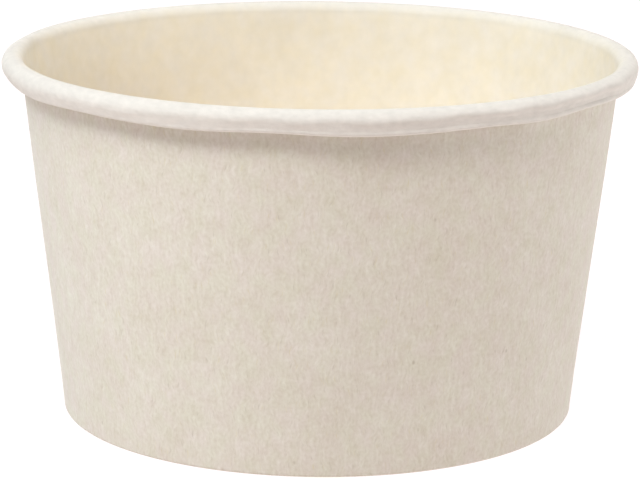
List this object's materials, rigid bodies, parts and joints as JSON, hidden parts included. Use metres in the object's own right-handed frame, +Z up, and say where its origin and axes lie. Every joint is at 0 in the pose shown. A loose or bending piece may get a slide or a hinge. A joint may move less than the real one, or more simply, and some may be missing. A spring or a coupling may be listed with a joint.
{
  "type": "paperboard snack cup",
  "caption": "Round tapered snack cup of beige bagasse paperboard with a rolled rim, a lapped side seam and a recessed base held in a folded hem.",
  "frame": {"origin": "centre of the foot ring, on the table", "axes": "+Z up along the cup's axis, out of the mouth; -Y towards the viewer of the picture; the side seam lies near -X, towards +Y"},
  "size_m": [0.095, 0.095, 0.0545],
  "materials": {
    "wall_paper": "matte",
    "base_paper": "matte"
  },
  "bodies": {
    "root": {"side_wall": "wall_paper", "base_disc": "base_paper"}
  },
  "joints": []
}
